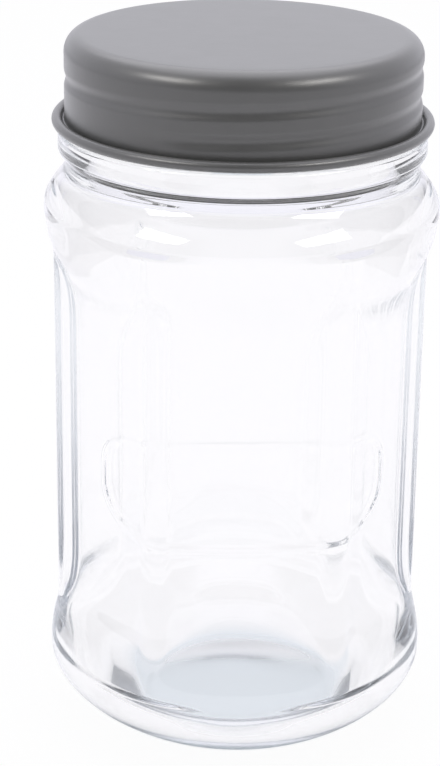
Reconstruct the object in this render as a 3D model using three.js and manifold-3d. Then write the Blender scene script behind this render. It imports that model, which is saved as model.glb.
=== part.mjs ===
// A panelled glass storage jar with a screw lid, in millimetres, +Z up, standing on z = 0.
// The front of the jar faces -Y. Angles are in degrees from the front, growing towards +X.
import * as THREE from "three";
import { mergeVertices } from "three/addons/utils/BufferGeometryUtils.js";
import ManifoldModule from "manifold-3d";

// Glass base and heel
const PUSH_UP = 5; // rise of the base's middle above the table
const BEARING_INNER = 25.5; // flat ring that stands on the table
const BEARING_OUTER = 27.5;
const FLOOR_THICKNESS = 4; // glass between the pushed-up base and the inside floor
const FLOOR_CROWN = 0.8; // rise of the inside floor's middle above its edge
const FLOOR_RADIUS = 35; // inside floor, up to where it turns into the wall
const HEEL_RADIUS = 47.3;
const HEEL_HEIGHT = 17.5; // table to the heel's widest ring
const HEEL_FOOT_RUN = 3.5; // how far the heel leaves the table almost level
const HEEL_TAPER = 30; // height over which the heel draws in to the waist
const HEEL_WALL = 3.4;

// Glass panels
const PANEL_COUNT = 6;
const PANEL_APOTHEM = 40.2; // axis to the flat of a panel
const RIDGE_ROUNDING = 6.6; // radius of the ridge between two panels
const PANEL_WALL = 2.9;
const INNER_RIDGE_ROUNDING = 8;
const SIDE_RIDGE_ROUNDING = 20; // inside the ridges at the two sides, where the glass is thicker
const SIDEWAYS = 0.9; // sine of a ridge's angle from which it is a side ridge
const WAIST_DEPTH = 2; // how far the turned waist lies behind the panels

// Glass shoulder, neck and mouth
const SHOULDER_RADIUS = 47.5;
const SHOULDER_RISE = 116.7; // heel's widest ring to the shoulder's widest ring
const SHOULDER_TAPER = 30; // height over which the shoulder draws in to the waist
const SHOULDER_WALL = 3.2;
const SHOULDER_DOME = 9.6; // shoulder's widest ring to the neck groove
const SHOULDER_ROUND = 3.8; // how far the shoulder stays upright before it turns in
const NECK_RADIUS = 42.3;
const NECK_ROUND = 2; // how far the shoulder runs upright into the neck groove
const NECK_BAND = 1.2; // upright band at the bottom of the groove
const COLLAR_RADIUS = 44;
const COLLAR_HEIGHT = 8.9; // neck groove to the collar's top
const COLLAR_SLOPE = 3.2; // height over which the collar swells out of the groove
const COLLAR_EDGE = 0.8;
const MOUTH_HEIGHT = 20.1; // collar's top to the rim
const BORE_RADIUS = 36.6;
const RIM_EDGE = 1.1;

// Screw thread, right-hand
const THREAD_PITCH = 6.8;
const THREAD_ROOT = 39.9;
const THREAD_HEIGHT = 1.7;
const THREAD_HALF_WIDTH = 1.7;
const THREAD_START = 10; // angle where the glass thread begins, at its lower end
const THREAD_SWEEP = 410;
const THREAD_DROP = 3.5; // rim to the middle of the thread's upper end
const THREAD_FADE = 30; // angle over which a thread's end fades out
const LID_THREAD_HEIGHT = 0.6;
const LID_THREAD_HALF_WIDTH = 2;
const LID_THREAD_BELOW = 1.8; // how far the lid's thread lies under the glass thread
const LID_THREAD_LEAD = 50; // how far the lid's thread runs on past each end of the glass thread

// Oval frame on the front
const FRAME_HALF_ANGLE = 55; // front to the frame's end, round the jar
const FRAME_HEIGHT = 27;
const FRAME_LIFT = 56; // heel's widest ring to the frame's middle
const FRAME_BEAD = 0.6; // radius of the raised bead
const FRAME_FULLNESS = 3; // 2 is a plain oval, more is squarer

// Lid and liner
const SHEET = 0.5;
const LID_CLEARANCE = 0.25; // thread crest to the lid's skirt
const LID_HEIGHT = 21.7;
const LID_CORNER = 4.4;
const CURL_RADIUS = 1.25;
const CURL_TROUGH = 0.55; // gap between the skirt and the curled edge
const LINER_THICKNESS = 1.3;
const LINER_LIP = 0.4; // upright part of the liner's edge
const LINER_GAP = 0.2;

// Heights and radii that follow
const SHOULDER_HEIGHT = HEEL_HEIGHT + SHOULDER_RISE;
const NECK_GROOVE = SHOULDER_HEIGHT + SHOULDER_DOME;
const COLLAR_TOP = NECK_GROOVE + COLLAR_HEIGHT;
const RIM_HEIGHT = COLLAR_TOP + MOUTH_HEIGHT;
const THREAD_END_HEIGHT = RIM_HEIGHT - THREAD_DROP;
const LINER_BOTTOM = RIM_HEIGHT + LINER_GAP;
const LINER_TOP = LINER_BOTTOM + LINER_THICKNESS;
const LID_INNER_TOP = LINER_TOP + LINER_GAP;
const LID_TOP = LID_INNER_TOP + SHEET;
const SKIRT_INNER = THREAD_ROOT + THREAD_HEIGHT + LID_CLEARANCE;
const SKIRT_OUTER = SKIRT_INNER + SHEET;
const CURL_HEIGHT = LID_TOP - LID_HEIGHT + CURL_RADIUS;
const CURL_MIDDLE = SKIRT_OUTER + CURL_TROUGH + CURL_RADIUS;
const FRAME_MIDDLE = HEEL_HEIGHT + FRAME_LIFT;

const GLASS_THREAD = { halfWidth: THREAD_HALF_WIDTH, lowering: 0, lead: 0 };
const LID_THREAD = { halfWidth: LID_THREAD_HALF_WIDTH, lowering: LID_THREAD_BELOW, lead: LID_THREAD_LEAD };

// Fineness of the solids
const SEGMENTS = 48;
const THREAD_ROWS = 16;
const FRAME_STEPS = 64;
const BEAD_SIDES = 6;
const MERGE_TOLERANCE = 1e-4;

const at = (radius, height) => new THREE.Vector2(radius, height);

function line(from, to, steps) {
  return new THREE.LineCurve(from, to).getPoints(steps);
}

function bend(start, leave, arrive, end, steps) {
  return new THREE.CubicBezierCurve(start, leave, arrive, end).getPoints(steps);
}

// A quarter round between two points, leaving along the height or along the radius
function quarter(from, to, leavesUpright, steps) {
  const corner = leavesUpright ? at(from.x, to.y) : at(to.x, from.y);
  const roundness = 0.5523;
  const leave = from.clone().lerp(corner, roundness);
  const arrive = to.clone().lerp(corner, roundness);
  return bend(from, leave, arrive, to, steps);
}

// An S between two heights that is upright at both ends
function taper(from, to, steps) {
  const middle = (from.y + to.y) / 2;
  return bend(from, at(from.x, middle), at(to.x, middle), to, steps);
}

// An upright run with close rows where a thread crosses it
function threadedRun(radius, low, high, { halfWidth, lowering, lead }) {
  const sweepRise = (THREAD_PITCH * (THREAD_SWEEP + lead)) / 360;
  const leadRise = (THREAD_PITCH * lead) / 360;
  const middle = THREAD_END_HEIGHT - lowering;
  const zoneLow = Math.max(low, middle - sweepRise - halfWidth);
  const zoneHigh = Math.min(high, middle + leadRise + halfWidth);
  return join(
    [at(radius, low)],
    line(at(radius, zoneLow), at(radius, zoneHigh), THREAD_ROWS),
    [at(radius, high)],
  );
}

function join(...runs) {
  const points = runs.flat();
  return points.filter((point, i) => i === 0 || point.distanceTo(points[i - 1]) > MERGE_TOLERANCE);
}

// Turns the runs of an outline about +Z. Each run may have a rule that reshapes its radius.
function turned(runs) {
  const rows = runs.flatMap(({ points, rule }) => points.map((point) => ({ point, rule })));
  const lathe = new THREE.LatheGeometry(rows.map((row) => row.point), SEGMENTS);
  lathe.rotateX(Math.PI / 2);
  const position = lathe.getAttribute("position");
  for (let i = 0; i < position.count; i += 1) {
    const { point, rule } = rows[i % rows.length];
    const turn = (Math.floor(i / rows.length) % SEGMENTS) / SEGMENTS * 360;
    const radius = rule ? rule(point.x, point.y, turn) : point.x;
    const angle = THREE.MathUtils.degToRad(turn);
    position.setXYZ(i, radius * Math.sin(angle), -radius * Math.cos(angle), point.y);
  }
  return lathe;
}

// Distance from the axis to a panelled prism with rounded ridges
function panelRadius(apothem, rounding, turn) {
  const span = 360 / PANEL_COUNT;
  const half = THREE.MathUtils.degToRad(span / 2);
  const fromPanel = Math.abs(THREE.MathUtils.degToRad(turn - span * Math.round(turn / span)));
  const roundMiddle = (apothem - rounding) / Math.cos(half);
  const flatEnd = Math.atan2(roundMiddle * Math.sin(half), apothem);
  if (fromPanel <= flatEnd) {
    return apothem / Math.cos(fromPanel);
  }
  const along = roundMiddle * Math.cos(half - fromPanel);
  const aside = roundMiddle * Math.sin(half - fromPanel);
  return along + Math.sqrt(rounding ** 2 - aside ** 2);
}

function outerBody(radius, height, turn) {
  return Math.max(radius, panelRadius(PANEL_APOTHEM, RIDGE_ROUNDING, turn));
}

function innerBody(radius, height, turn) {
  const span = 360 / PANEL_COUNT;
  const ridge = THREE.MathUtils.degToRad(span * (Math.floor(turn / span) + 0.5));
  const atSide = Math.abs(Math.sin(ridge)) > SIDEWAYS;
  const rounding = atSide ? SIDE_RIDGE_ROUNDING : INNER_RIDGE_ROUNDING;
  return Math.max(radius, panelRadius(PANEL_APOTHEM - PANEL_WALL, rounding, turn));
}

// How much of a thread's full height stands at one place: 1 on its crest, 0 clear of it
function threadShare(height, turn, { halfWidth, lowering, lead }) {
  const first = THREAD_START - lead;
  const last = THREAD_START + THREAD_SWEEP + lead;
  let share = 0;
  for (let along = turn - 360; along <= last; along += 360) {
    const behindEnd = THREAD_START + THREAD_SWEEP - along;
    const middle = THREAD_END_HEIGHT - lowering - (THREAD_PITCH * behindEnd) / 360;
    const away = Math.min(Math.abs(height - middle) / halfWidth, 1);
    const inside = Math.min(along - first, last - along) / THREAD_FADE;
    const fade = THREE.MathUtils.smoothstep(inside, 0, 1);
    share = Math.max(share, fade * Math.cos((away * Math.PI) / 2) ** 2);
  }
  return share;
}

function glassThread(radius, height, turn) {
  return radius + THREAD_HEIGHT * threadShare(height, turn, GLASS_THREAD);
}

function lidThread(radius, height, turn) {
  return radius - LID_THREAD_HEIGHT * threadShare(height, turn, LID_THREAD);
}

function glassOutside() {
  const waist = PANEL_APOTHEM - WAIST_DEPTH;
  const heel = at(HEEL_RADIUS, HEEL_HEIGHT);
  const shoulder = at(SHOULDER_RADIUS, SHOULDER_HEIGHT);
  const bearing = at(BEARING_OUTER, 0);
  const crown = at(BEARING_INNER / 3, PUSH_UP);
  const crownFoot = at(BEARING_INNER * 0.75, PUSH_UP / 6);
  const foot = join(
    bend(at(0, PUSH_UP), crown, crownFoot, at(BEARING_INNER, 0), 4),
    [bearing],
    bend(bearing, at(BEARING_OUTER + HEEL_FOOT_RUN, 0), at(HEEL_RADIUS, HEEL_HEIGHT / 2), heel, 6),
  );
  const body = join(
    taper(heel, at(waist, HEEL_HEIGHT + HEEL_TAPER), 8),
    line(at(waist, HEEL_HEIGHT + HEEL_TAPER), at(waist, SHOULDER_HEIGHT - SHOULDER_TAPER), 2),
    taper(at(waist, SHOULDER_HEIGHT - SHOULDER_TAPER), shoulder, 8),
  );
  const groove = at(NECK_RADIUS, NECK_GROOVE);
  const shoulderTurn = at(SHOULDER_RADIUS, SHOULDER_HEIGHT + SHOULDER_ROUND);
  const grooveTurn = at(NECK_RADIUS, NECK_GROOVE - NECK_ROUND);
  const bandTop = at(NECK_RADIUS, NECK_GROOVE + NECK_BAND);
  const dome = bend(shoulder, shoulderTurn, grooveTurn, groove, 5);
  const collar = join(
    taper(bandTop, at(COLLAR_RADIUS, bandTop.y + COLLAR_SLOPE), 4),
    quarter(
      at(COLLAR_RADIUS, COLLAR_TOP - COLLAR_EDGE),
      at(COLLAR_RADIUS - COLLAR_EDGE, COLLAR_TOP),
      true,
      2,
    ),
  );
  const mouth = threadedRun(THREAD_ROOT, COLLAR_TOP, RIM_HEIGHT - RIM_EDGE, GLASS_THREAD);
  const rim = quarter(mouth.at(-1), at(THREAD_ROOT - RIM_EDGE, RIM_HEIGHT), true, 2);
  return [
    { points: foot.slice(0, -1) },
    { points: body, rule: outerBody },
    { points: join(dome, collar).slice(1) },
    { points: mouth, rule: glassThread },
    { points: rim.slice(1) },
  ];
}

function glassInside() {
  const waist = PANEL_APOTHEM - PANEL_WALL - WAIST_DEPTH;
  const heel = at(HEEL_RADIUS - HEEL_WALL, HEEL_HEIGHT + FLOOR_THICKNESS / 2);
  const floorMiddle = at(0, PUSH_UP + FLOOR_THICKNESS);
  const floorEdge = at(FLOOR_RADIUS, floorMiddle.y - FLOOR_CROWN);
  const neckFoot = at(BORE_RADIUS, NECK_GROOVE + NECK_BAND + COLLAR_SLOPE);
  const shoulder = at(SHOULDER_RADIUS - SHOULDER_WALL, SHOULDER_HEIGHT - SHOULDER_WALL / 2);
  const bore = join(
    quarter(at(BORE_RADIUS + RIM_EDGE, RIM_HEIGHT), at(BORE_RADIUS, RIM_HEIGHT - RIM_EDGE), false, 2),
    [at(BORE_RADIUS, COLLAR_TOP)],
    taper(neckFoot, shoulder, 5),
  );
  const body = join(
    taper(shoulder, at(waist, SHOULDER_HEIGHT - SHOULDER_TAPER), 6),
    line(at(waist, SHOULDER_HEIGHT - SHOULDER_TAPER), at(waist, HEEL_HEIGHT + HEEL_TAPER), 2),
    taper(at(waist, HEEL_HEIGHT + HEEL_TAPER), heel, 6),
  );
  const heelTurn = at(heel.x, (heel.y + floorEdge.y) / 2);
  const floorTurn = at(FLOOR_RADIUS + HEEL_FOOT_RUN, floorEdge.y);
  const floor = join(
    bend(heel, heelTurn, floorTurn, floorEdge, 5),
    [floorMiddle],
  );
  return [
    { points: bore.slice(0, -1) },
    { points: body, rule: innerBody },
    { points: floor.slice(1) },
  ];
}

// The raised bead of the oval frame, half sunk into the panels
function frameBead() {
  const points = [];
  for (let i = 0; i < FRAME_STEPS; i += 1) {
    const round = (i / FRAME_STEPS) * 2 * Math.PI;
    const power = 2 / FRAME_FULLNESS;
    const across = Math.sign(Math.cos(round)) * Math.abs(Math.cos(round)) ** power;
    const up = Math.sign(Math.sin(round)) * Math.abs(Math.sin(round)) ** power;
    const turn = FRAME_HALF_ANGLE * across;
    const angle = THREE.MathUtils.degToRad(turn);
    const radius = panelRadius(PANEL_APOTHEM, RIDGE_ROUNDING, turn);
    const height = FRAME_MIDDLE + (FRAME_HEIGHT / 2) * up;
    points.push(new THREE.Vector3(radius * Math.sin(angle), -radius * Math.cos(angle), height));
  }
  const path = new THREE.CatmullRomCurve3(points, true);
  return new THREE.TubeGeometry(path, FRAME_STEPS, FRAME_BEAD, BEAD_SIDES, true);
}

const manifold = await ManifoldModule();
manifold.setup();

function solidOf(geometry) {
  const bare = new THREE.BufferGeometry();
  bare.setAttribute("position", geometry.getAttribute("position"));
  bare.setIndex(geometry.getIndex());
  const merged = mergeVertices(bare, MERGE_TOLERANCE);
  const corners = merged.getIndex().array;
  const kept = [];
  for (let i = 0; i < corners.length; i += 3) {
    const [a, b, c] = corners.slice(i, i + 3);
    if (a !== b && b !== c && c !== a) {
      kept.push(a, b, c);
    }
  }
  const mesh = new manifold.Mesh({
    numProp: 3,
    vertProperties: new Float32Array(merged.getAttribute("position").array),
    triVerts: new Uint32Array(kept),
  });
  return new manifold.Manifold(mesh);
}

function joined(first, second) {
  const mesh = solidOf(first).add(solidOf(second)).getMesh();
  const geometry = new THREE.BufferGeometry();
  geometry.setAttribute("position", new THREE.BufferAttribute(new Float32Array(mesh.vertProperties), 3));
  geometry.setIndex(new THREE.BufferAttribute(new Uint32Array(mesh.triVerts), 1));
  geometry.computeVertexNormals();
  return geometry;
}

function glassJar() {
  return joined(turned([...glassOutside(), ...glassInside()]), frameBead());
}

function screwLid() {
  const skirtTop = LID_TOP - LID_CORNER;
  const skirt = (radius) => threadedRun(radius, CURL_HEIGHT, skirtTop, LID_THREAD);
  const roof = join(
    [at(0, LID_INNER_TOP)],
    quarter(at(SKIRT_OUTER - LID_CORNER, LID_INNER_TOP), at(SKIRT_INNER, skirtTop), false, 4),
  );
  const curl = new THREE.EllipseCurve(
    CURL_MIDDLE, CURL_HEIGHT, CURL_RADIUS, CURL_RADIUS, -Math.PI / 2, Math.PI, false,
  ).getPoints(8);
  const edge = join(
    quarter(at(SKIRT_INNER, CURL_HEIGHT), at(CURL_MIDDLE, CURL_HEIGHT - CURL_RADIUS), true, 3),
    curl,
  );
  const cap = join(
    quarter(at(SKIRT_OUTER, skirtTop), at(SKIRT_OUTER - LID_CORNER, LID_TOP), true, 5),
    [at(0, LID_TOP)],
  );
  return turned([
    { points: roof.slice(0, -1) },
    { points: skirt(SKIRT_INNER).reverse(), rule: lidThread },
    { points: edge.slice(1) },
    { points: skirt(SKIRT_OUTER), rule: lidThread },
    { points: cap.slice(1) },
  ]);
}

// The liner's edge follows the inside of the lid's rounded corner
function lidLiner() {
  const cornerMiddle = at(SKIRT_OUTER - LID_CORNER, LID_TOP - LID_CORNER);
  const cornerRadius = LID_CORNER - SHEET - LINER_GAP;
  const lipShare = (LINER_BOTTOM + LINER_LIP - cornerMiddle.y) / cornerRadius;
  const shoulder = new THREE.EllipseCurve(
    cornerMiddle.x, cornerMiddle.y, cornerRadius, cornerRadius, Math.asin(lipShare), Math.PI / 2, false,
  ).getPoints(4);
  const outline = join(
    [at(0, LINER_BOTTOM), at(shoulder[0].x, LINER_BOTTOM)],
    shoulder,
    [at(0, LINER_TOP)],
  );
  return turned([{ points: outline }]);
}

function piece(name, geometry, color, roughness, metalness) {
  const material = new THREE.MeshStandardMaterial({ color, roughness, metalness });
  const mesh = new THREE.Mesh(geometry, material);
  mesh.name = name;
  return mesh;
}

const group = new THREE.Group();
group.name = "glass_storage_jar";
group.add(piece("glass_jar", glassJar(), 0xe6eef2, 0.05, 0));
group.add(piece("screw_lid", screwLid(), 0x8c8b8e, 0.4, 0.3));
group.add(piece("lid_liner", lidLiner(), 0xe9e6dc, 0.8, 0));

export default group;
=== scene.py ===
# A clear glass storage jar with a grey screw lid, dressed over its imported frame.
# Shapes are worked out in millimetres and made in metres. The front of the jar faces -Y.
import math

import bpy
from mathutils import Matrix, Vector


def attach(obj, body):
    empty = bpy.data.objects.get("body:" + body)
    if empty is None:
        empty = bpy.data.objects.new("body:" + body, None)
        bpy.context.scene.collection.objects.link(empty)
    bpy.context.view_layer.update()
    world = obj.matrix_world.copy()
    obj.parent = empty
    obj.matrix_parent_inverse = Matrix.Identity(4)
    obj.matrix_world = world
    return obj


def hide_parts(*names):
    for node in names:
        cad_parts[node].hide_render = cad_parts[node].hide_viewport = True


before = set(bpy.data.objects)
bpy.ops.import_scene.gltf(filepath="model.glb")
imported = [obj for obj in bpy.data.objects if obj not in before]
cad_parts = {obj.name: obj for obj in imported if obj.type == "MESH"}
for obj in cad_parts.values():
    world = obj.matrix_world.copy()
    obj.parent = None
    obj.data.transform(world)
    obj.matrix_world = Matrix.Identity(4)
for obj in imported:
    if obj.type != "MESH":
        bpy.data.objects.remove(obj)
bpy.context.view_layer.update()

MM = 0.001

# Glass base and heel, as in the solids
PUSH_UP = 5
BEARING_INNER = 25.5
BEARING_OUTER = 27.5
FLOOR_THICKNESS = 4
FLOOR_CROWN = 0.8
FLOOR_RADIUS = 35
HEEL_RADIUS = 47.3
HEEL_HEIGHT = 17.5
HEEL_FOOT_RUN = 3.5
HEEL_TAPER = 30
HEEL_WALL = 3.4

# Glass panels
PANEL_COUNT = 6
PANEL_APOTHEM = 40.2
RIDGE_ROUNDING = 6.6
PANEL_WALL = 2.9
INNER_RIDGE_ROUNDING = 8
SIDE_RIDGE_ROUNDING = 20  # inside the ridges at the two sides, where the glass is thicker
SIDEWAYS = 0.9  # sine of a ridge's angle from which it is a side ridge
WAIST_DEPTH = 2
PANEL_BLEND = 5  # softness of the crease where a panel meets the heel or the shoulder
BLEND_FADE = 0.7  # it fades towards the ridges, so that nothing is wider than the shoulder
INNER_BLEND = 8

# Glass shoulder, neck and mouth
SHOULDER_RADIUS = 47.5
SHOULDER_RISE = 116.7
SHOULDER_TAPER = 30
SHOULDER_WALL = 3.2
SHOULDER_DOME = 9.6
SHOULDER_ROUND = 3.8
NECK_RADIUS = 42.3
NECK_ROUND = 2
NECK_BAND = 1.2
COLLAR_RADIUS = 44
COLLAR_HEIGHT = 8.9
COLLAR_SLOPE = 3.2
COLLAR_EDGE = 0.8
MOUTH_HEIGHT = 20.1
BORE_RADIUS = 36.6
RIM_EDGE = 1.1

# Screw thread, with its turns in degrees
THREAD_PITCH = 6.8
THREAD_ROOT = 39.9
THREAD_HEIGHT = 1.7
THREAD_HALF_WIDTH = 1.7
THREAD_START = 10
THREAD_SWEEP = 410
THREAD_DROP = 3.5
THREAD_FADE = 30
LID_THREAD_HEIGHT = 0.45
LID_THREAD_HALF_WIDTH = 2.2
LID_THREAD_BELOW = 1.8
LID_THREAD_LEAD = 50

# Oval frame on the front
FRAME_HALF_ANGLE = 55
FRAME_HEIGHT = 27
FRAME_LIFT = 56
FRAME_BEAD = 0.26
FRAME_HALF_WIDTH = 1.6
FRAME_FULLNESS = 3
FRAME_MARGIN = 2  # of fine rows above and below it
FRAME_NEARNESS = 0.5  # share of the oval's size past which its bead can't reach

# Lid and liner
SHEET = 0.5
LID_CLEARANCE = 0.25
LID_HEIGHT = 21.7
LID_CORNER = 4.4
CURL_RADIUS = 1.25
CURL_TROUGH = 0.55
LINER_THICKNESS = 1.3
LINER_LIP = 0.4
LINER_GAP = 0.2

# Meshes, with the widths of their columns in degrees
FINE_COLUMN = 0.6
COARSE_COLUMN = 1.25
FINE_MARGIN = 5  # of fine columns past each end of the oval frame
LID_COLUMNS = 288
LINER_COLUMNS = 144
SAME_POINT = 1e-5  # nearer points of an outline are one point
ON_AXIS = 1e-6  # a smaller radius is a point on the axis

# Heights and radii that follow
SHOULDER_HEIGHT = HEEL_HEIGHT + SHOULDER_RISE
NECK_GROOVE = SHOULDER_HEIGHT + SHOULDER_DOME
COLLAR_TOP = NECK_GROOVE + COLLAR_HEIGHT
RIM_HEIGHT = COLLAR_TOP + MOUTH_HEIGHT
THREAD_END_HEIGHT = RIM_HEIGHT - THREAD_DROP
LINER_BOTTOM = RIM_HEIGHT + LINER_GAP
LINER_TOP = LINER_BOTTOM + LINER_THICKNESS
LID_INNER_TOP = LINER_TOP + LINER_GAP
LID_TOP = LID_INNER_TOP + SHEET
SKIRT_INNER = THREAD_ROOT + THREAD_HEIGHT + LID_CLEARANCE
SKIRT_OUTER = SKIRT_INNER + SHEET
SKIRT_TOP = LID_TOP - LID_CORNER
LID_FLAT_RADIUS = SKIRT_OUTER - LID_CORNER
CURL_HEIGHT = LID_TOP - LID_HEIGHT + CURL_RADIUS
CURL_MIDDLE = SKIRT_OUTER + CURL_TROUGH + CURL_RADIUS
FRAME_MIDDLE = HEEL_HEIGHT + FRAME_LIFT
FRAME_RADIUS = PANEL_APOTHEM + 3  # of the glass under the frame, between its panels and its ridges
DOME_TOP_RUN = BEARING_INNER / 3  # the base's dome leaves its top level,
DOME_FOOT = BEARING_INNER * 0.75  # and runs level into the bearing ring

# Widest points of the glass, as (radius, height)
OUTER_HEEL = (HEEL_RADIUS, HEEL_HEIGHT)
OUTER_SHOULDER = (SHOULDER_RADIUS, SHOULDER_HEIGHT)
INNER_HEEL = (HEEL_RADIUS - HEEL_WALL, HEEL_HEIGHT + FLOOR_THICKNESS / 2)
INNER_SHOULDER = (SHOULDER_RADIUS - SHOULDER_WALL, SHOULDER_HEIGHT - SHOULDER_WALL / 2)


# Outlines are lists of (radius, height)
def bend(start, leave, arrive, end, steps):
    points = []
    corners = (start, leave, arrive, end)
    for i in range(steps + 1):
        t = i / steps
        u = 1 - t
        weights = (u**3, 3 * u * u * t, 3 * u * t * t, t**3)
        points.append(tuple(sum(w * c[k] for w, c in zip(weights, corners)) for k in (0, 1)))
    return points


def line(start, end, steps):
    return [tuple(a + (b - a) * i / steps for a, b in zip(start, end)) for i in range(steps + 1)]


def quarter(start, end, leaves_upright, steps):
    """A quarter of an ellipse."""
    corner = (start[0], end[1]) if leaves_upright else (end[0], start[1])
    roundness = 0.5523  # of the way to the corner, where a bend comes closest to an ellipse
    leave = tuple(a + (c - a) * roundness for a, c in zip(start, corner))
    arrive = tuple(b + (c - b) * roundness for b, c in zip(end, corner))
    return bend(start, leave, arrive, end, steps)


def taper(start, end, steps):
    """An S-bend that is upright at both ends."""
    middle = (start[1] + end[1]) / 2
    return bend(start, (start[0], middle), (end[0], middle), end, steps)


def crown(edge, middle, steps):
    """A soft crown, level at its edge and at its middle."""
    half = edge[0] / 2
    return bend(edge, (half, edge[1]), (half, middle[1]), middle, steps)


def arc(middle, radius, first, last, steps):
    angles = [first + (last - first) * i / steps for i in range(steps + 1)]
    return [(middle[0] + radius * math.cos(a), middle[1] + radius * math.sin(a)) for a in angles]


def join(*runs):
    points = []
    for run in runs:
        for point in run:
            if not points or math.dist(point, points[-1]) > SAME_POINT:
                points.append(point)
    return points


# Rules that shape a radius by its height and its turn from the front, in degrees
def smoothstep(x):
    x = min(max(x, 0.0), 1.0)
    return x * x * (3 - 2 * x)


def smooth_max(a, b, softness):
    overlap = max(softness - abs(a - b), 0.0) / softness
    return max(a, b) + overlap * overlap * softness / 4


def panel_radius(apothem, rounding, turn):
    """Radius of a round of flat panels with rounded ridges between them."""
    span = 360 / PANEL_COUNT
    half = math.radians(span / 2)
    from_panel = abs(math.radians(turn - span * round(turn / span)))
    round_middle = (apothem - rounding) / math.cos(half)
    flat_end = math.atan2(round_middle * math.sin(half), apothem)
    if from_panel <= flat_end:
        return apothem / math.cos(from_panel)
    along = round_middle * math.cos(half - from_panel)
    aside = round_middle * math.sin(half - from_panel)
    return along + math.sqrt(rounding**2 - aside**2)


def frame_share(height, turn):
    """1 on the crest of the oval frame's bead, 0 clear of it."""
    across = (turn + 180) % 360 - 180
    u = across / FRAME_HALF_ANGLE
    v = (height - FRAME_MIDDLE) / (FRAME_HEIGHT / 2)
    power = FRAME_FULLNESS
    level = (abs(u) ** power + abs(v) ** power) ** (1 / power)
    if abs(level - 1) >= FRAME_NEARNESS:
        return 0.0
    half_arc = math.radians(FRAME_HALF_ANGLE) * FRAME_RADIUS
    slope_u = (abs(u) / level) ** (power - 1) / half_arc
    slope_v = (abs(v) / level) ** (power - 1) / (FRAME_HEIGHT / 2)
    away = abs(level - 1) / math.hypot(slope_u, slope_v) / FRAME_HALF_WIDTH
    return math.cos(min(away, 1.0) * math.pi / 2) ** 2


def outer_body(radius, height, turn):
    panel = panel_radius(PANEL_APOTHEM, RIDGE_ROUNDING, turn)
    below_shoulder = (SHOULDER_RADIUS - panel) / (SHOULDER_RADIUS - PANEL_APOTHEM)
    softness = PANEL_BLEND * below_shoulder**BLEND_FADE
    return smooth_max(radius, panel, softness) + FRAME_BEAD * frame_share(height, turn)


def inner_body(radius, height, turn):
    span = 360 / PANEL_COUNT
    ridge = math.radians(span * (math.floor(turn / span) + 0.5))
    at_side = abs(math.sin(ridge)) > SIDEWAYS
    rounding = SIDE_RIDGE_ROUNDING if at_side else INNER_RIDGE_ROUNDING
    panel = panel_radius(PANEL_APOTHEM - PANEL_WALL, rounding, turn)
    return smooth_max(radius, panel, INNER_BLEND)


def thread_share(height, turn, half_width, lowering, lead):
    """1 on the crest of the thread, 0 clear of it. The lead makes it longer at both ends."""
    first = THREAD_START - lead
    thread_end = THREAD_START + THREAD_SWEEP
    last = thread_end + lead
    share = 0.0
    along = turn - 360
    while along <= last:
        middle = THREAD_END_HEIGHT - lowering - THREAD_PITCH * (thread_end - along) / 360
        away = min(abs(height - middle) / half_width, 1.0)
        fade = smoothstep(min(along - first, last - along) / THREAD_FADE)
        share = max(share, fade * math.cos(away * math.pi / 2) ** 2)
        along += 360
    return share


def glass_thread(radius, height, turn):
    return radius + THREAD_HEIGHT * thread_share(height, turn, THREAD_HALF_WIDTH, 0, 0)


def lid_thread(radius, height, turn):
    share = thread_share(height, turn, LID_THREAD_HALF_WIDTH, LID_THREAD_BELOW, LID_THREAD_LEAD)
    return radius - LID_THREAD_HEIGHT * share


# Turned meshes
def turned_rings(rows, turns):
    """Points for each row of an outline, all round the axis, and the list of each ring's points."""
    verts = []
    rings = []
    for (radius, height), rule in rows:
        if radius < ON_AXIS:
            rings.append([len(verts)] * len(turns))
            verts.append((0.0, 0.0, height * MM))
            continue
        ring = []
        for turn in turns:
            shaped = rule(radius, height, turn) if rule else radius
            angle = math.radians(turn)
            ring.append(len(verts))
            verts.append((shaped * math.sin(angle) * MM, -shaped * math.cos(angle) * MM, height * MM))
        rings.append(ring)
    return verts, rings


def ring_faces(rings):
    faces = []
    for low, high in zip(rings, rings[1:]):
        for i in range(len(low)):
            j = (i + 1) % len(low)
            corners = (low[i], low[j], high[j], high[i])
            faces.append(tuple(dict.fromkeys(corners)))
    return faces


def turned(name, runs, turns):
    """A closed mesh: runs of an outline turned about +Z, each run with a rule for its radius or None."""
    rows = [(point, rule) for points, rule in runs for point in points]
    verts, rings = turned_rings(rows, turns)
    mesh = bpy.data.meshes.new(name)
    mesh.from_pydata(verts, [], ring_faces(rings))
    mesh.validate()
    mesh.shade_smooth()
    piece = bpy.data.objects.new(name, mesh)
    bpy.context.collection.objects.link(piece)
    return piece


def even_turns(count):
    return [360 * i / count for i in range(count)]


def jar_turns():
    """Close columns across the front, where the oval frame is, and wider ones round the back."""
    front = FRAME_HALF_ANGLE + FINE_MARGIN
    fine = [-front + FINE_COLUMN * i for i in range(int(2 * front / FINE_COLUMN))]
    coarse = [front + COARSE_COLUMN * i for i in range(int((360 - 2 * front) / COARSE_COLUMN))]
    return [turn % 360 for turn in fine + coarse]


# Outlines of the jar
def jar_foot():
    """The underside, from the middle of its dome to the widest point of the heel."""
    ring_inner = (BEARING_INNER, 0)
    ring_outer = (BEARING_OUTER, 0)
    foot_run = (BEARING_OUTER + HEEL_FOOT_RUN, 0)
    heel_run = (HEEL_RADIUS, HEEL_HEIGHT / 2)
    return join(
        bend((0, PUSH_UP), (DOME_TOP_RUN, PUSH_UP), (DOME_FOOT, 0), ring_inner, steps=24),
        line(ring_inner, ring_outer, steps=4),
        bend(ring_outer, foot_run, heel_run, OUTER_HEEL, steps=26),
    )


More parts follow.
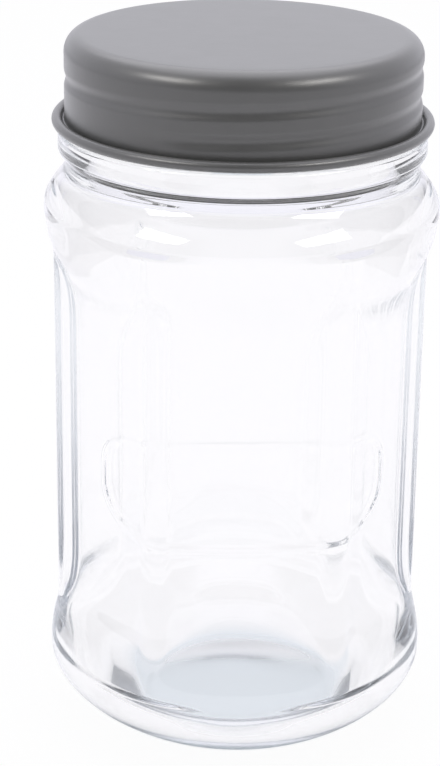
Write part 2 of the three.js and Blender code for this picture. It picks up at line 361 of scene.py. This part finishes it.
def jar_side():
    """The panelled side, from the widest point of the heel to that of the shoulder."""
    waist = PANEL_APOTHEM - WAIST_DEPTH
    heel_top = (waist, HEEL_HEIGHT + HEEL_TAPER)
    shoulder_foot = (waist, SHOULDER_HEIGHT - SHOULDER_TAPER)
    frame_low = (waist, FRAME_MIDDLE - FRAME_HEIGHT / 2 - FRAME_MARGIN)
    frame_high = (waist, FRAME_MIDDLE + FRAME_HEIGHT / 2 + FRAME_MARGIN)
    return join(
        taper(OUTER_HEEL, heel_top, steps=40),
        line(heel_top, frame_low, steps=6),
        line(frame_low, frame_high, steps=64),
        line(frame_high, shoulder_foot, steps=10),
        taper(shoulder_foot, OUTER_SHOULDER, steps=40),
    )


def jar_neck():
    """The shoulder's dome, the groove above it and the collar under the lid."""
    groove = (NECK_RADIUS, NECK_GROOVE)
    shoulder_turn = (SHOULDER_RADIUS, SHOULDER_HEIGHT + SHOULDER_ROUND)
    groove_turn = (NECK_RADIUS, NECK_GROOVE - NECK_ROUND)
    band_top = (NECK_RADIUS, NECK_GROOVE + NECK_BAND)
    collar_foot = (COLLAR_RADIUS, band_top[1] + COLLAR_SLOPE)
    collar_turn = (COLLAR_RADIUS, COLLAR_TOP - COLLAR_EDGE)
    collar_rim = (COLLAR_RADIUS - COLLAR_EDGE, COLLAR_TOP)
    return join(
        bend(OUTER_SHOULDER, shoulder_turn, groove_turn, groove, steps=24),
        line(groove, band_top, steps=3),
        taper(band_top, collar_foot, steps=16),
        line(collar_foot, collar_turn, steps=6),
        quarter(collar_turn, collar_rim, leaves_upright=True, steps=6),
    )


def jar_outside():
    rim_foot = (THREAD_ROOT, RIM_HEIGHT - RIM_EDGE)
    rim_top = (THREAD_ROOT - RIM_EDGE, RIM_HEIGHT)
    return [
        (jar_foot()[:-1], None),
        (jar_side(), outer_body),
        (jar_neck()[1:], None),
        (line((THREAD_ROOT, COLLAR_TOP), rim_foot, steps=70), glass_thread),
        (quarter(rim_foot, rim_top, leaves_upright=True, steps=8)[1:], None),
    ]


def jar_inside():
    waist = PANEL_APOTHEM - PANEL_WALL - WAIST_DEPTH
    heel_top = (waist, HEEL_HEIGHT + HEEL_TAPER)
    shoulder_foot = (waist, SHOULDER_HEIGHT - SHOULDER_TAPER)
    rim_top = (BORE_RADIUS + RIM_EDGE, RIM_HEIGHT)
    bore_top = (BORE_RADIUS, RIM_HEIGHT - RIM_EDGE)
    bore_foot = (BORE_RADIUS, NECK_GROOVE + NECK_BAND + COLLAR_SLOPE)
    bore = join(
        quarter(rim_top, bore_top, leaves_upright=False, steps=8),
        line(bore_top, bore_foot, steps=20),
        taper(bore_foot, INNER_SHOULDER, steps=30),
    )
    side = join(
        taper(INNER_SHOULDER, shoulder_foot, steps=36),
        line(shoulder_foot, heel_top, steps=24),
        taper(heel_top, INNER_HEEL, steps=36),
    )
    return [(bore[:-1], None), (side, inner_body), (jar_floor()[1:], None)]


def jar_floor():
    """The inside of the base, from the widest point of the heel to the middle of the floor."""
    middle = (0, PUSH_UP + FLOOR_THICKNESS)
    edge = (FLOOR_RADIUS, middle[1] - FLOOR_CROWN)
    heel_run = (INNER_HEEL[0], (INNER_HEEL[1] + edge[1]) / 2)
    floor_run = (FLOOR_RADIUS + HEEL_FOOT_RUN, edge[1])
    return join(
        bend(INNER_HEEL, heel_run, floor_run, edge, steps=26),
        crown(edge, middle, steps=12),
    )


# Outlines of the lid and its liner
def lid_shell():
    skirt_foot = (SKIRT_INNER, CURL_HEIGHT)
    inner_turn = (LID_FLAT_RADIUS, LID_INNER_TOP)
    outer_turn = (LID_FLAT_RADIUS, LID_TOP)
    roof = join(
        line((0, LID_INNER_TOP), inner_turn, steps=6),
        quarter(inner_turn, (SKIRT_INNER, SKIRT_TOP), leaves_upright=False, steps=10),
    )
    curl_low = (CURL_MIDDLE, CURL_HEIGHT - CURL_RADIUS)
    edge = join(
        quarter(skirt_foot, curl_low, leaves_upright=True, steps=8),
        arc((CURL_MIDDLE, CURL_HEIGHT), CURL_RADIUS, -math.pi / 2, math.pi, steps=30),
    )
    cap = join(
        quarter((SKIRT_OUTER, SKIRT_TOP), outer_turn, leaves_upright=True, steps=20),
        line(outer_turn, (0, LID_TOP), steps=14),
    )
    return [
        (roof[:-1], None),
        (line((SKIRT_INNER, SKIRT_TOP), skirt_foot, steps=64), lid_thread),
        (edge[1:], None),
        (line((SKIRT_OUTER, CURL_HEIGHT), (SKIRT_OUTER, SKIRT_TOP), steps=64), lid_thread),
        (cap[1:], None),
    ]


def liner_disc():
    corner = (LID_FLAT_RADIUS, SKIRT_TOP)
    radius = LID_CORNER - SHEET - LINER_GAP
    lip = math.asin((LINER_BOTTOM + LINER_LIP - corner[1]) / radius)
    shoulder = arc(corner, radius, lip, math.pi / 2, steps=8)
    outline = join(
        line((0, LINER_BOTTOM), (shoulder[0][0], LINER_BOTTOM), steps=10),
        shoulder,
        line((corner[0], LINER_TOP), (0, LINER_TOP), steps=8),
    )
    return [(outline, None)]


# Materials. A noise is (scale, detail) and a bump is (strength, distance in metres)
GLASS_IOR = 1.5
GLASS_WAVES = (28, 2)
GLASS_ROUGHNESS = (0.0, 0.02)
GLASS_BUMP = (0.18, 0.0006)
GLASS_TINT = (0.70, 0.79, 0.86, 1)
GLASS_DENSITY = 2.5
GLASS_SHADE = (0.6, 0.66, 0.7, 1)  # the share of light that its shadow lets through
BASE_FROSTING = 0.3  # roughness of the base's underside
CLEAR = (1.0, 1.0, 1.0)
PAINTED_UNDERSIDE_SHADE = (0.62, 0.70, 0.76)  # painted shade: the underside's colour darkens the table seen through it, which lies in the jar's shadow
PAINT_DARK = (0.066, 0.067, 0.065)
PAINT_LIGHT = (0.076, 0.077, 0.075)
PAINT_MOTTLE = (140, 4)
PAINT_ROUGHNESS = (0.32, 0.42)
PAINT_PEEL = (900, 2)
PAINT_BUMP = (0.08, 0.0003)
PAINT_COAT_ROUGHNESS = 0.34
LINER_DARK = (0.66, 0.65, 0.60)
LINER_LIGHT = (0.76, 0.75, 0.71)
LINER_GRAIN = (400, 4)
LINER_ROUGHNESS = (0.6, 0.8)
LINER_BUMP = (0.2, 0.0003)


def new_material(name):
    material = bpy.data.materials.new(name)
    material.use_nodes = True
    tree = material.node_tree
    return material, tree, tree.nodes["Principled BSDF"]


def noise_node(tree, noise_kind):
    coordinates = tree.nodes.new("ShaderNodeTexCoord")
    noise = tree.nodes.new("ShaderNodeTexNoise")
    noise.inputs["Scale"].default_value, noise.inputs["Detail"].default_value = noise_kind
    tree.links.new(coordinates.outputs["Object"], noise.inputs["Vector"])
    return noise.outputs["Fac"]


def range_node(tree, source, values):
    """Maps a 0 to 1 value onto a range of numbers."""
    spread = tree.nodes.new("ShaderNodeMapRange")
    spread.inputs["To Min"].default_value, spread.inputs["To Max"].default_value = values
    tree.links.new(source, spread.inputs["Value"])
    return spread.outputs["Result"]


def smooth_node(tree, source, limits, values):
    """A smooth change from one value to another between two limits of the source."""
    spread = tree.nodes.new("ShaderNodeMapRange")
    spread.interpolation_type = "SMOOTHSTEP"
    spread.inputs["From Min"].default_value, spread.inputs["From Max"].default_value = limits
    spread.inputs["To Min"].default_value, spread.inputs["To Max"].default_value = values
    tree.links.new(source, spread.inputs["Value"])
    return spread.outputs["Result"]


def colour_ramp(tree, source, low, high):
    ramp = tree.nodes.new("ShaderNodeValToRGB")
    ramp.color_ramp.elements[0].color = (*low, 1)
    ramp.color_ramp.elements[1].color = (*high, 1)
    tree.links.new(source, ramp.inputs["Fac"])
    return ramp.outputs["Color"]


def bump_node(tree, source, bump_kind):
    bump = tree.nodes.new("ShaderNodeBump")
    bump.inputs["Strength"].default_value, bump.inputs["Distance"].default_value = bump_kind
    tree.links.new(source, bump.inputs["Height"])
    return bump.outputs["Normal"]


def math_node(tree, operation, first, second):
    """A maths node on two inputs, each a socket or a plain number."""
    node = tree.nodes.new("ShaderNodeMath")
    node.operation = operation
    for socket, value in zip(node.inputs, (first, second)):
        if isinstance(value, (int, float)):
            socket.default_value = value
        else:
            tree.links.new(value, socket)
    return node.outputs[0]


def mix_shaders(tree, share, first, second):
    mix = tree.nodes.new("ShaderNodeMixShader")
    tree.links.new(share, mix.inputs["Fac"])
    tree.links.new(first, mix.inputs[1])
    tree.links.new(second, mix.inputs[2])
    tree.links.new(mix.outputs["Shader"], tree.nodes["Material Output"].inputs["Surface"])


def under_base(tree):
    """1 on the pushed-up underside of the base, which the mould leaves matt and whose colour carries
    painted shade, and 0 elsewhere.
    """
    coordinates = tree.nodes.new("ShaderNodeTexCoord")
    parts = tree.nodes.new("ShaderNodeSeparateXYZ")
    tree.links.new(coordinates.outputs["Object"], parts.inputs["Vector"])
    squares = [math_node(tree, "POWER", parts.outputs[axis], 2) for axis in ("X", "Y")]
    radius = math_node(tree, "SQRT", math_node(tree, "ADD", *squares), 0)
    within = smooth_node(tree, radius, (BEARING_INNER * MM, FLOOR_RADIUS * MM), (1, 0))
    top = (PUSH_UP + FLOOR_THICKNESS / 2) * MM
    below = math_node(tree, "LESS_THAN", parts.outputs["Z"], top)
    return math_node(tree, "MULTIPLY", within, below)


def glass_material():
    material, tree, shader = new_material("clear_glass")
    shader.inputs["Transmission Weight"].default_value = 1.0
    shader.inputs["IOR"].default_value = GLASS_IOR
    underside = under_base(tree)
    # The underside's base colour is painted shade, which darkens the shadowed table seen through the
    # base.
    tree.links.new(colour_ramp(tree, underside, CLEAR, PAINTED_UNDERSIDE_SHADE), shader.inputs["Base Color"])
    waves = noise_node(tree, GLASS_WAVES)
    polish = range_node(tree, waves, GLASS_ROUGHNESS)
    frosting = math_node(tree, "MULTIPLY", underside, BASE_FROSTING)
    tree.links.new(math_node(tree, "MAXIMUM", polish, frosting), shader.inputs["Roughness"])
    tree.links.new(bump_node(tree, waves, GLASS_BUMP), shader.inputs["Normal"])
    body = tree.nodes.new("ShaderNodeVolumeAbsorption")
    body.inputs["Color"].default_value = GLASS_TINT
    body.inputs["Density"].default_value = GLASS_DENSITY
    tree.links.new(body.outputs["Volume"], tree.nodes["Material Output"].inputs["Volume"])
    shade = tree.nodes.new("ShaderNodeBsdfTransparent")
    shade.inputs["Color"].default_value = GLASS_SHADE
    path = tree.nodes.new("ShaderNodeLightPath")
    mix_shaders(tree, path.outputs["Is Shadow Ray"], shader.outputs["BSDF"], shade.outputs["BSDF"])
    return material


def lid_material():
    material, tree, shader = new_material("lid_paint")
    mottle = noise_node(tree, PAINT_MOTTLE)
    tree.links.new(colour_ramp(tree, mottle, PAINT_DARK, PAINT_LIGHT), shader.inputs["Base Color"])
    tree.links.new(range_node(tree, mottle, PAINT_ROUGHNESS), shader.inputs["Roughness"])
    peel = noise_node(tree, PAINT_PEEL)
    tree.links.new(bump_node(tree, peel, PAINT_BUMP), shader.inputs["Normal"])
    shader.inputs["Coat Weight"].default_value = 1.0
    shader.inputs["Coat Roughness"].default_value = PAINT_COAT_ROUGHNESS
    return material


def liner_material():
    material, tree, shader = new_material("liner")
    grain = noise_node(tree, LINER_GRAIN)
    tree.links.new(colour_ramp(tree, grain, LINER_DARK, LINER_LIGHT), shader.inputs["Base Color"])
    tree.links.new(range_node(tree, grain, LINER_ROUGHNESS), shader.inputs["Roughness"])
    tree.links.new(bump_node(tree, grain, LINER_BUMP), shader.inputs["Normal"])
    return material


def dress(piece, node, body, material):
    piece.data.materials.append(material)
    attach(piece, body)
    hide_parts(node)


jar_glass = turned("jar_glass", jar_outside() + jar_inside(), jar_turns())
lid = turned("lid_shell", lid_shell(), even_turns(LID_COLUMNS))
liner = turned("liner_disc", liner_disc(), even_turns(LINER_COLUMNS))
dress(jar_glass, "glass_jar", "jar", glass_material())
dress(lid, "screw_lid", "lid", lid_material())
dress(liner, "lid_liner", "liner", liner_material())


# Camera at the photograph's view, with lengths in millimetres and angles in degrees
IMAGE_WIDTH = 440
IMAGE_HEIGHT = 766
SENSOR = 36
FOCAL_PIXELS = 2224.9
VIEW_MIDDLE = (238.9, 381.5)  # where the camera's axis meets the picture, in pixels
CAMERA_DISTANCE = 515.3  # from the jar's axis
CAMERA_HEIGHT = 287.2
CAMERA_TURN = -3.2  # round the jar, from straight in front
CAMERA_TILT = 21.21
CAMERA_ROLL = 0.93
CAMERA_REACH = 50  # in metres


def add_camera():
    data = bpy.data.cameras.new("camera")
    data.sensor_width = SENSOR
    data.lens = FOCAL_PIXELS / IMAGE_HEIGHT * SENSOR
    data.shift_x = (IMAGE_WIDTH / 2 - VIEW_MIDDLE[0]) / IMAGE_HEIGHT
    data.shift_y = (VIEW_MIDDLE[1] - IMAGE_HEIGHT / 2) / IMAGE_HEIGHT
    data.clip_end = CAMERA_REACH
    camera = bpy.data.objects.new("camera", data)
    bpy.context.collection.objects.link(camera)
    turn = Matrix.Rotation(math.radians(CAMERA_TURN), 4, "Z")
    place = Matrix.Translation(Vector((0, -CAMERA_DISTANCE, CAMERA_HEIGHT)) * MM)
    tilt = Matrix.Rotation(math.radians(90 - CAMERA_TILT), 4, "X")
    roll = Matrix.Rotation(math.radians(CAMERA_ROLL), 4, "Z")
    camera.matrix_world = turn @ place @ tilt @ roll
    bpy.context.scene.camera = camera


# Table, room and lamps, in metres and watts
WHITE = (1, 1, 1, 1)
TABLE_HALF_WIDTH = 3.0
TABLE_DROP = 0.0002  # keeps the table just clear of the ring that the jar stands on
TABLE_COLOUR = (0.76, 0.76, 0.77, 1)
TABLE_ROUGHNESS = 0.9
TABLE_GLOW = 0.95  # how much of the table's white is plain background where the camera sees it
TABLE_GLOW_IN_GLASS = 0.95  # and where it shows through glass
PAPER_WHITE = (0.985, 0.978, 1.0, 1)  # the table's faint lavender cast, as it shows through glass
ROOM_WHITE = (0.93, 0.925, 1.0, 1)  # and the white walls'
FRONT_LEVEL = 0.10  # brightness of the dark side of the room, in front of the jar
FRONT_AXIS = (0.0, -0.954, 0.3)  # towards the middle of that dark side
DARK_WITHIN = 0.80  # cosines of the angles from that axis where the dark ends and the white begins
WHITE_BEYOND = 0.45
FLAG_LEVEL = 0.1  # brightness of the dark flags at both sides, which the glass mirrors at its edges
WHITE_WITHIN = 0.25  # sines of the angles from straight ahead where the white ends and a flag begins
FLAG_BEYOND = 0.65
COOL_LIGHT = (0.97, 0.96, 1.0)
WARM_LIGHT = (1.0, 0.975, 0.94)
JAR_MIDDLE = (0, 0, 0.12)  # where the softboxes at the sides are aimed
GLASS_BOUNCES = 128  # light takes many turns inside the thick glass of the heel


def white_to_camera(tree, path, elsewhere):
    """Plain white where the camera looks straight at it, and a tinted white elsewhere."""
    tint = tree.nodes.new("ShaderNodeMix")
    tint.data_type = "RGBA"
    tint.inputs["A"].default_value = elsewhere
    tint.inputs["B"].default_value = WHITE
    tree.links.new(path.outputs["Is Camera Ray"], tint.inputs["Factor"])
    return tint.outputs["Result"]


def floor_material():
    material, tree, shader = new_material("floor_white")
    shader.inputs["Base Color"].default_value = TABLE_COLOUR
    shader.inputs["Roughness"].default_value = TABLE_ROUGHNESS
    path = tree.nodes.new("ShaderNodeLightPath")
    glow = tree.nodes.new("ShaderNodeEmission")
    tree.links.new(white_to_camera(tree, path, PAPER_WHITE), glow.inputs["Color"])
    seen = math_node(tree, "MULTIPLY", path.outputs["Is Camera Ray"], TABLE_GLOW)
    in_glass = math_node(tree, "MULTIPLY", path.outputs["Is Transmission Ray"], TABLE_GLOW_IN_GLASS)
    share = math_node(tree, "MAXIMUM", seen, in_glass)
    mix_shaders(tree, share, shader.outputs["BSDF"], glow.outputs["Emission"])
    return material


def add_floor():
    mesh = bpy.data.meshes.new("floor")
    corners = [(-1, -1), (1, -1), (1, 1), (-1, 1)]
    verts = [(x * TABLE_HALF_WIDTH, y * TABLE_HALF_WIDTH, -TABLE_DROP) for x, y in corners]
    mesh.from_pydata(verts, [], [(0, 1, 2, 3)])
    mesh.materials.append(floor_material())
    floor = bpy.data.objects.new("floor", mesh)
    bpy.context.collection.objects.link(floor)


def dark_front(tree, direction):
    """Brightness of the room, which is white behind and dark in front."""
    towards_front = tree.nodes.new("ShaderNodeVectorMath")
    towards_front.operation = "DOT_PRODUCT"
    towards_front.inputs[1].default_value = FRONT_AXIS
    tree.links.new(direction, towards_front.inputs[0])
    limits = (WHITE_BEYOND, DARK_WITHIN)
    return smooth_node(tree, towards_front.outputs["Value"], limits, (1, FRONT_LEVEL))


def side_flags(tree, direction):
    """Brightness of a white room with a dark flag at each side."""
    parts = tree.nodes.new("ShaderNodeSeparateXYZ")
    tree.links.new(direction, parts.inputs["Vector"])
    sideways = math_node(tree, "ABSOLUTE", parts.outputs["X"], 0)
    return smooth_node(tree, sideways, (WHITE_WITHIN, FLAG_BEYOND), (1, FLAG_LEVEL))


def mirrored(tree, path):
    """1 for light that leaves glass after being mirrored inside it."""
    turned_back = math_node(tree, "GREATER_THAN", path.outputs["Glossy Depth"], 0.5)
    return math_node(tree, "MULTIPLY", path.outputs["Is Transmission Ray"], turned_back)


def add_world():
    """A white room, dark in front, that is plain white straight on and straight through glass.

    Light that is mirrored inside the glass finds the dark flags at the sides.
    """
    world = bpy.data.worlds.new("studio")
    world.use_nodes = True
    tree = world.node_tree
    coordinates = tree.nodes.new("ShaderNodeTexCoord")
    direction = coordinates.outputs["Generated"]
    path = tree.nodes.new("ShaderNodeLightPath")
    edge_share = mirrored(tree, path)
    level = tree.nodes.new("ShaderNodeMix")
    tree.links.new(edge_share, level.inputs["Factor"])
    tree.links.new(dark_front(tree, direction), level.inputs["A"])
    tree.links.new(side_flags(tree, direction), level.inputs["B"])
    straight = math_node(tree, "SUBTRACT", path.outputs["Is Transmission Ray"], edge_share)
    plain = math_node(tree, "MAXIMUM", path.outputs["Is Camera Ray"], straight)
    strength = math_node(tree, "MAXIMUM", level.outputs["Result"], plain)
    background = tree.nodes["Background"]
    tree.links.new(strength, background.inputs["Strength"])
    tree.links.new(white_to_camera(tree, path, ROOM_WHITE), background.inputs["Color"])
    bpy.context.scene.world = world


def add_lamp(name, place, aim, size, power, colour):
    data = bpy.data.lights.new(name, "AREA")
    data.shape = "RECTANGLE"
    data.size, data.size_y = size
    data.energy = power
    data.color = colour
    lamp = bpy.data.objects.new(name, data)
    bpy.context.collection.objects.link(lamp)
    lamp.location = place
    direction = Vector(aim) - Vector(place)
    lamp.rotation_euler = direction.to_track_quat("-Z", "Y").to_euler()
    lamp.visible_transmission = False  # the room seen through glass has no lamps in it


add_camera()
add_floor()
add_world()
add_lamp(
    "top_softbox",
    place=(0, 0.5, 1.3),
    aim=(0, 0, 0),
    size=(1.4, 1.4),
    power=8.0,
    colour=COOL_LIGHT,
)
add_lamp(
    "left_softbox",
    place=(-0.65, -0.45, 0.75),
    aim=JAR_MIDDLE,
    size=(0.45, 0.25),
    power=3.2,
    colour=WARM_LIGHT,
)
add_lamp(
    "right_softbox",
    place=(0.62, -0.5, 0.75),
    aim=JAR_MIDDLE,
    size=(0.5, 0.25),
    power=3.4,
    colour=WARM_LIGHT,
)

scene = bpy.context.scene
scene.view_settings.view_transform = "Standard"
scene.cycles.max_bounces = GLASS_BOUNCES
scene.cycles.glossy_bounces = GLASS_BOUNCES
scene.cycles.transmission_bounces = GLASS_BOUNCES
